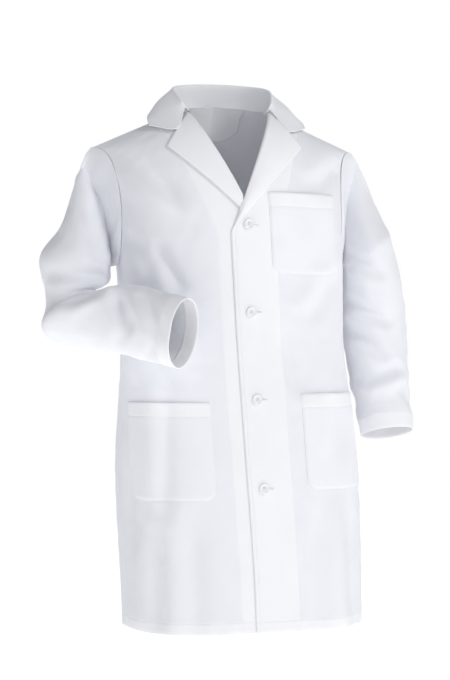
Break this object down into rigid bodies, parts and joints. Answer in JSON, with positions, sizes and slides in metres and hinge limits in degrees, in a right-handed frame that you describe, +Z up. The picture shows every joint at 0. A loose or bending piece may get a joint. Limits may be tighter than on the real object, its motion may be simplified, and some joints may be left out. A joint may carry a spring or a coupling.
{
  "type": "lab coat",
  "caption": "Knee-length white work coat with notched lapels, button front, patch pockets and long sleeves, in the shape it takes when worn.",
  "frame": {"origin": "the nape: the middle of the back neck seam, where the coat hangs", "axes": "+Z up, +X towards the wearer's left arm, -Y the way the wearer faces"},
  "size_m": [0.751, 0.4397, 1.0642],
  "materials": {
    "poplin": "matte white woven cotton blend",
    "button_resin": "satin white resin",
    "thread": "matte sewing thread"
  },
  "bodies": {
    "torso": {"back_neck_facing": "poplin", "button_shank_1": "thread", "button_shank_2": "thread", "button_shank_3": "thread", "button_shank_4": "thread", "centre_back_seam_tape": "poplin", "chest_pocket": "poplin", "chest_pocket_hem": "poplin", "left_back": "poplin", "left_back_hem": "poplin", "left_front": "poplin", "left_front_facing": "poplin", "left_hip_pocket": "poplin", "left_hip_pocket_hem": "poplin", "left_lapel_back": "poplin", "left_lapel_face": "poplin", "left_side_seam_tape": "poplin", "left_sleeve_head": "poplin", "right_back": "poplin", "right_back_hem": "poplin", "right_front": "poplin", "right_front_facing": "poplin", "right_hip_pocket": "poplin", "right_hip_pocket_hem": "poplin", "right_lapel_back": "poplin", "right_lapel_face": "poplin", "right_side_seam_tape": "poplin", "right_sleeve_head": "poplin", "under_collar": "poplin", "upper_collar": "poplin"},
    "right_upper_arm": {"right_upper_sleeve": "poplin"},
    "right_forearm": {"right_elbow": "poplin", "right_lower_sleeve": "poplin", "right_cuff_hem": "poplin"},
    "left_upper_arm": {"left_upper_sleeve": "poplin"},
    "left_forearm": {"left_elbow": "poplin", "left_lower_sleeve": "poplin", "left_cuff_hem": "poplin"},
    "right_skirt": {"right_front_flap": "poplin", "right_flap_facing": "poplin", "right_front_hem": "poplin"},
    "left_skirt": {"left_front_flap": "poplin", "left_flap_facing": "poplin", "left_front_hem": "poplin"},
    "button_1_body": {"button_1": "button_resin"},
    "button_2_body": {"button_2": "button_resin"},
    "button_3_body": {"button_3": "button_resin"},
    "button_4_body": {"button_4": "button_resin"}
  },
  "joints": [
    {"name": "right_shoulder", "type": "hinge", "parent": "torso", "child": "right_upper_arm", "pos_m": [-0.215, -0.085, -0.125], "axis": [0, 1, 0], "range_deg": [0, 60], "deforming": ["right_sleeve_head"]},
    {"name": "right_elbow", "type": "hinge", "parent": "right_upper_arm", "child": "right_forearm", "pos_m": [-0.3, -0.1455, -0.414], "axis": [-0.7838, -0.621, 0], "range_deg": [-28, 40], "deforming": ["right_elbow"]},
    {"name": "left_shoulder", "type": "hinge", "parent": "torso", "child": "left_upper_arm", "pos_m": [0.222, -0.08, -0.125], "axis": [0, -1, 0], "range_deg": [0, 60], "deforming": ["left_sleeve_head"]},
    {"name": "left_elbow", "type": "hinge", "parent": "left_upper_arm", "child": "left_forearm", "pos_m": [0.3164, -0.062, -0.44], "axis": [-1, 0, 0], "range_deg": [0, 90], "deforming": ["left_elbow"]},
    {"name": "left_skirt_swing", "type": "hinge", "parent": "torso", "child": "left_skirt", "pos_m": [0.2742, -0.0609, -1.02], "axis": [-0.0234, -0.0276, 0.9993], "range_deg": [0, 30], "stiffness_Nm_per_rad": 0.06},
    {"name": "right_skirt_swing", "type": "hinge", "parent": "torso", "child": "right_skirt", "pos_m": [-0.1942, -0.1184, -1.02], "axis": [-0.04, 0.0276, 0.9988], "range_deg": [-15, 0]},
    {"name": "button_1_turn", "type": "hinge", "parent": "torso", "child": "button_1_body", "pos_m": [0.0165, -0.2333, -0.2468], "axis": [0.0295, -0.999, 0.0349], "range_deg": [-30, 30], "stiffness_Nm_per_rad": 0.0001},
    {"name": "button_2_turn", "type": "hinge", "parent": "torso", "child": "button_2_body", "pos_m": [0.0258, -0.2346, -0.4149], "axis": [0.0497, -0.9985, 0.0215], "range_deg": [-30, 30], "stiffness_Nm_per_rad": 0.0001},
    {"name": "button_3_turn", "type": "hinge", "parent": "torso", "child": "button_3_body", "pos_m": [0.035, -0.2444, -0.5806], "axis": [0.0693, -0.9942, 0.0828], "range_deg": [-30, 30], "stiffness_Nm_per_rad": 0.0001},
    {"name": "button_4_turn", "type": "hinge", "parent": "torso", "child": "button_4_body", "pos_m": [0.0457, -0.2548, -0.7488], "axis": [0.0895, -0.9951, 0.0422], "range_deg": [-30, 30], "stiffness_Nm_per_rad": 0.0001}
  ],
  "couplings": [
    {"joint": "right_skirt_swing", "follows": "left_skirt_swing", "ratio": -0.5}
  ]
}
